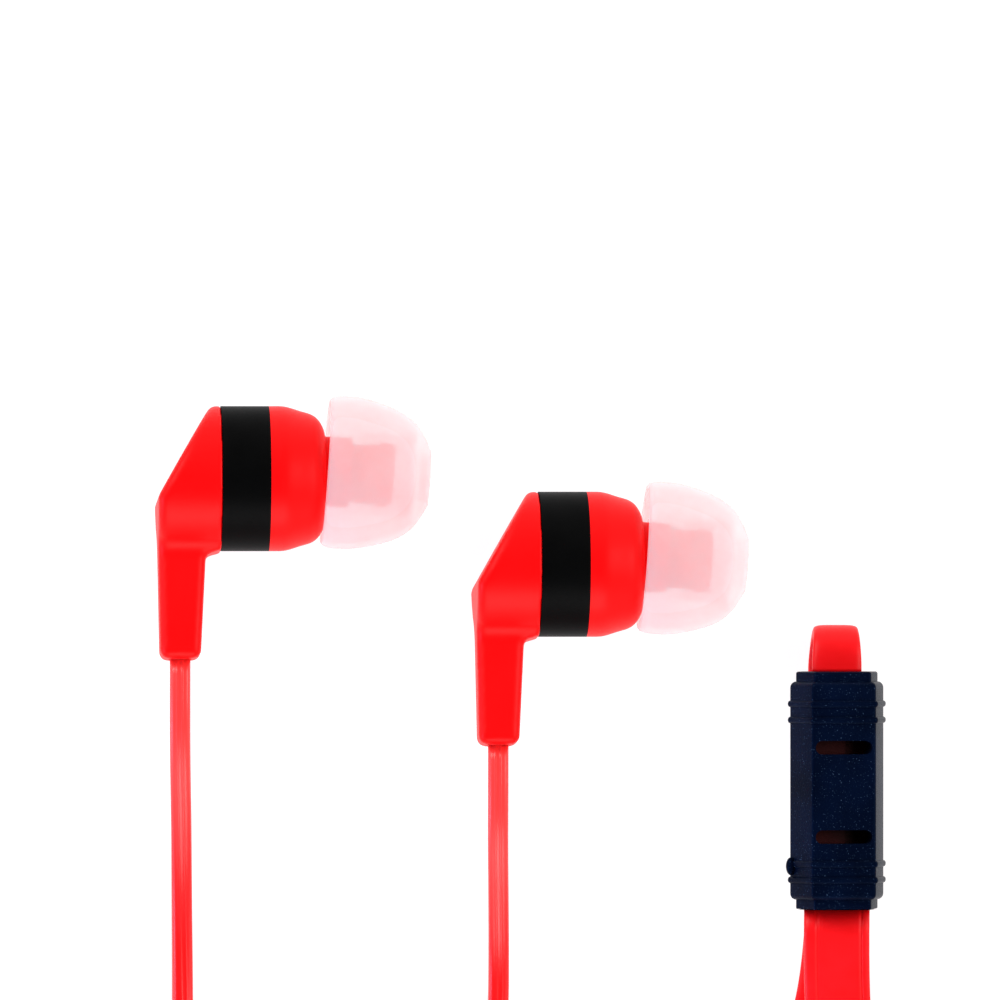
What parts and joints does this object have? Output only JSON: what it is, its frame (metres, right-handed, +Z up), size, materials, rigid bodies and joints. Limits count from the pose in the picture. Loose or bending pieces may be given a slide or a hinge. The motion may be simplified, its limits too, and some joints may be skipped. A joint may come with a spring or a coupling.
{
  "type": "wired earphones",
  "caption": "Wired in-ear earphones: stemmed earpieces with soft tips, slim leads, a black ribbed sleeve and a flat cable to a round plug.",
  "frame": {"origin": "on the plane that the earphones lie on, at the bottom centre of the two earpieces", "axes": "+X along the earpieces towards their ear tips, +Y away from the leads, +Z up"},
  "size_m": [0.0728, 0.15, 0.0137],
  "materials": {
    "housing_red": "high gloss moulded",
    "band_black": "gloss moulded",
    "tip_silicone": "translucent silicone",
    "mesh_steel": "woven mesh",
    "driver_black": "moulded",
    "driver_steel": "plated",
    "magnet_nickel": "nickel plated",
    "coil_copper": "enamelled copper",
    "film": "thin film",
    "board_green": "solder mask",
    "damping_paper": "non-woven paper",
    "lead_red": "soft satin",
    "cable_red": "soft satin",
    "core_red": "moulded",
    "sleeve_black": "fine textured",
    "tie_black": "soft",
    "plug_gold": "gold plated",
    "insulator_black": "moulded",
    "plug_black": "soft satin"
  },
  "bodies": {
    "root": {"rear_cover_left": "housing_red", "band_ring_left": "band_black", "front_housing_left": "housing_red", "nozzle_mesh_left": "mesh_steel", "driver_frame_left": "driver_black", "yoke_cup_left": "driver_steel", "magnet_left": "magnet_nickel", "top_plate_left": "driver_steel", "driver_cover_left": "driver_steel", "driver_board_left": "board_green", "rear_damper_left": "damping_paper", "cable_knot_left": "lead_red", "inner_wires_left": "coil_copper", "ear_lead_left_run": "lead_red", "ear_lead_left_coil": "lead_red", "ear_lead_left_tail": "lead_red", "ear_lead_left_tie": "tie_black", "rear_cover_right": "housing_red", "band_ring_right": "band_black", "front_housing_right": "housing_red", "nozzle_mesh_right": "mesh_steel", "driver_frame_right": "driver_black", "yoke_cup_right": "driver_steel", "magnet_right": "magnet_nickel", "top_plate_right": "driver_steel", "driver_cover_right": "driver_steel", "driver_board_right": "board_green", "rear_damper_right": "damping_paper", "cable_knot_right": "lead_red", "inner_wires_right": "coil_copper", "ear_lead_right_run": "lead_red", "ear_lead_right_coil": "lead_red", "ear_lead_right_tail": "lead_red", "ear_lead_right_tie": "tie_black", "sleeve_front_shell": "sleeve_black", "sleeve_back_shell": "sleeve_black", "sleeve_core": "core_red", "main_cable_run": "cable_red", "main_cable_coil": "cable_red", "main_cable_tail": "cable_red", "main_cable_tie": "tie_black", "twin_lead": "cable_red", "lead_fork": "cable_red", "plug_tip_contact": "plug_gold", "plug_ring_contact": "plug_gold", "plug_sleeve_contact": "plug_gold", "plug_insulator": "insulator_black", "plug_housing": "plug_black", "plug_strain_relief": "plug_black"},
    "ear_tip_left": {"ear_tip_left": "tip_silicone"},
    "ear_tip_right": {"ear_tip_right": "tip_silicone"},
    "driver_cone_left": {"diaphragm_left": "film", "voice_coil_left": "coil_copper"},
    "driver_cone_right": {"diaphragm_right": "film", "voice_coil_right": "coil_copper"}
  },
  "joints": [
    {"name": "ear_tip_pull_left", "type": "slide", "parent": "root", "child": "ear_tip_left", "axis": [0.9963, -0.0678, -0.0533], "range_m": [0, 0.0062]},
    {"name": "driver_cone_travel_left", "type": "slide", "parent": "root", "child": "driver_cone_left", "axis": [0.9982, 0, -0.0593], "range_m": [-0.00015, 0.00015], "stiffness_N_per_m": 30},
    {"name": "ear_tip_pull_right", "type": "slide", "parent": "root", "child": "ear_tip_right", "axis": [0.9963, -0.0678, -0.0533], "range_m": [0, 0.0062]},
    {"name": "driver_cone_travel_right", "type": "slide", "parent": "root", "child": "driver_cone_right", "axis": [0.9982, 0, -0.0593], "range_m": [-0.00015, 0.00015], "stiffness_N_per_m": 30}
  ]
}
